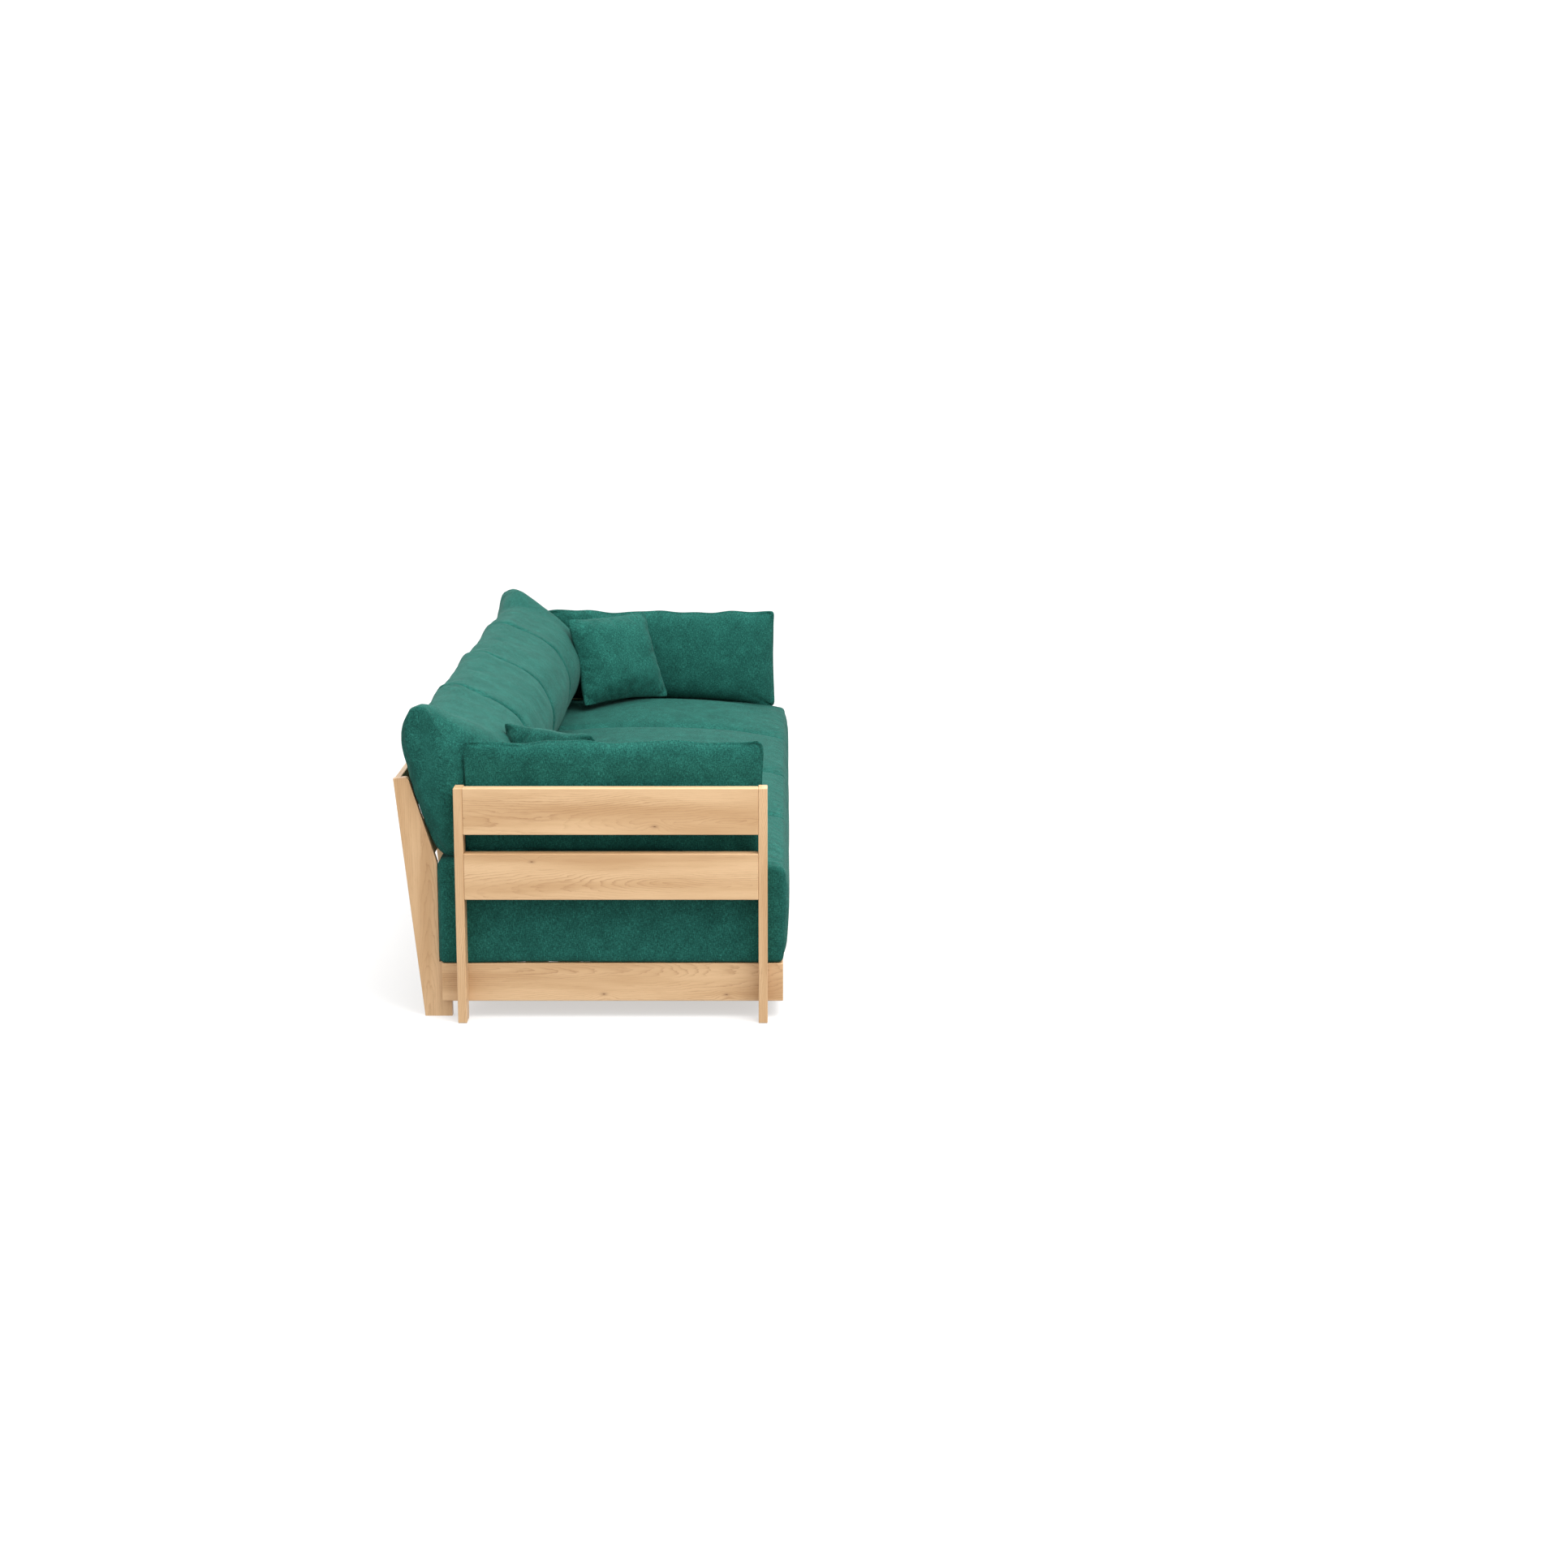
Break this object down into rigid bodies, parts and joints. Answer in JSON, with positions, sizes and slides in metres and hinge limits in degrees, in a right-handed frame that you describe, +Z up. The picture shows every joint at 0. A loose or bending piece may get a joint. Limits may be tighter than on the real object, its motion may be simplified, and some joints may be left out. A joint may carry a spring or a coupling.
{
  "type": "modular platform sofa",
  "caption": "Long low sofa with a slatted wooden platform, two open board arm frames, raked board back frames on wedge legs, and thick loose seat, back, arm and throw cushions.",
  "frame": {"origin": "on the floor, in the middle of the length and of the overall depth", "axes": "+X runs along the sofa, the front faces -Y, +Z is up"},
  "size_m": [2.83, 1.089, 0.8683],
  "materials": {
    "oak": "clear matt lacquer on light oak",
    "birch": "planed, unfinished birch",
    "feet": "dark stained wood",
    "bolts": "zinc plated",
    "fabric": "teal green mottled chenille"
  },
  "bodies": {
    "frame": {"back_board_lower_1": "oak", "back_board_lower_2": "oak", "back_board_lower_3": "oak", "back_board_lower_4": "oak", "back_board_upper_1": "oak", "back_board_upper_2": "oak", "back_board_upper_3": "oak", "back_board_upper_4": "oak", "back_leg_left_1": "oak", "back_leg_left_2": "oak", "back_leg_left_3": "oak", "back_leg_left_4": "oak", "back_leg_right_1": "oak", "back_leg_right_2": "oak", "back_leg_right_3": "oak", "back_leg_right_4": "oak", "dowels": "birch", "frame_bolts": "bolts", "front_rail_1": "oak", "front_rail_2": "oak", "front_rail_3": "oak", "front_rail_4": "oak", "left_arm_front_post": "oak", "left_arm_lower_board": "oak", "left_arm_rear_post": "oak", "left_arm_upper_board": "oak", "left_side_board_1": "oak", "left_side_board_2": "oak", "left_side_board_3": "oak", "left_side_board_4": "oak", "rear_rail_1": "oak", "rear_rail_2": "oak", "rear_rail_3": "oak", "rear_rail_4": "oak", "right_arm_front_post": "oak", "right_arm_lower_board": "oak", "right_arm_rear_post": "oak", "right_arm_upper_board": "oak", "right_side_board_1": "oak", "right_side_board_2": "oak", "right_side_board_3": "oak", "right_side_board_4": "oak", "slat_ledgers": "birch", "slats_1": "birch", "slats_2": "birch", "slats_3": "birch", "slats_4": "birch", "support_feet": "feet"},
    "back_cushion_1": {"back_cushion_1": "fabric"},
    "back_cushion_2": {"back_cushion_2": "fabric"},
    "back_cushion_3": {"back_cushion_3": "fabric"},
    "back_cushion_4": {"back_cushion_4": "fabric"},
    "left_arm_cushion": {"left_arm_cushion": "fabric"},
    "left_throw_pillow": {"left_throw_pillow": "fabric"},
    "right_arm_cushion": {"right_arm_cushion": "fabric"},
    "right_throw_pillow": {"right_throw_pillow": "fabric"},
    "seat_cushion_1": {"seat_cushion_1": "fabric"},
    "seat_cushion_2": {"seat_cushion_2": "fabric"},
    "seat_cushion_3": {"seat_cushion_3": "fabric"},
    "seat_cushion_4": {"seat_cushion_4": "fabric"}
  },
  "joints": [
    {"name": "seat_cushion_1_lift", "type": "slide", "parent": "frame", "child": "seat_cushion_1", "axis": [0, 0, 1], "range_m": [0, 0.54]},
    {"name": "back_cushion_1_lift", "type": "slide", "parent": "seat_cushion_1", "child": "back_cushion_1", "axis": [0, 0.2756, 0.9613], "range_m": [0, 0.4]},
    {"name": "seat_cushion_2_lift", "type": "slide", "parent": "frame", "child": "seat_cushion_2", "axis": [0, 0, 1], "range_m": [0, 0.54]},
    {"name": "back_cushion_2_lift", "type": "slide", "parent": "seat_cushion_2", "child": "back_cushion_2", "axis": [0, 0.2756, 0.9613], "range_m": [0, 0.4]},
    {"name": "seat_cushion_3_lift", "type": "slide", "parent": "frame", "child": "seat_cushion_3", "axis": [0, 0, 1], "range_m": [0, 0.54]},
    {"name": "back_cushion_3_lift", "type": "slide", "parent": "seat_cushion_3", "child": "back_cushion_3", "axis": [0, 0.2756, 0.9613], "range_m": [0, 0.4]},
    {"name": "seat_cushion_4_lift", "type": "slide", "parent": "frame", "child": "seat_cushion_4", "axis": [0, 0, 1], "range_m": [0, 0.54]},
    {"name": "back_cushion_4_lift", "type": "slide", "parent": "seat_cushion_4", "child": "back_cushion_4", "axis": [0, 0.2756, 0.9613], "range_m": [0, 0.4]},
    {"name": "left_arm_cushion_lift", "type": "slide", "parent": "seat_cushion_1", "child": "left_arm_cushion", "axis": [0, 0, 1], "range_m": [0, 0.36]},
    {"name": "left_throw_pillow_lift", "type": "slide", "parent": "left_arm_cushion", "child": "left_throw_pillow", "axis": [0.5, -0.4, 0.7681], "range_m": [0, 0.4]},
    {"name": "right_arm_cushion_lift", "type": "slide", "parent": "seat_cushion_4", "child": "right_arm_cushion", "axis": [0, 0, 1], "range_m": [0, 0.36]},
    {"name": "right_throw_pillow_lift", "type": "slide", "parent": "right_arm_cushion", "child": "right_throw_pillow", "axis": [-0.5, -0.4, 0.7681], "range_m": [0, 0.4]}
  ]
}
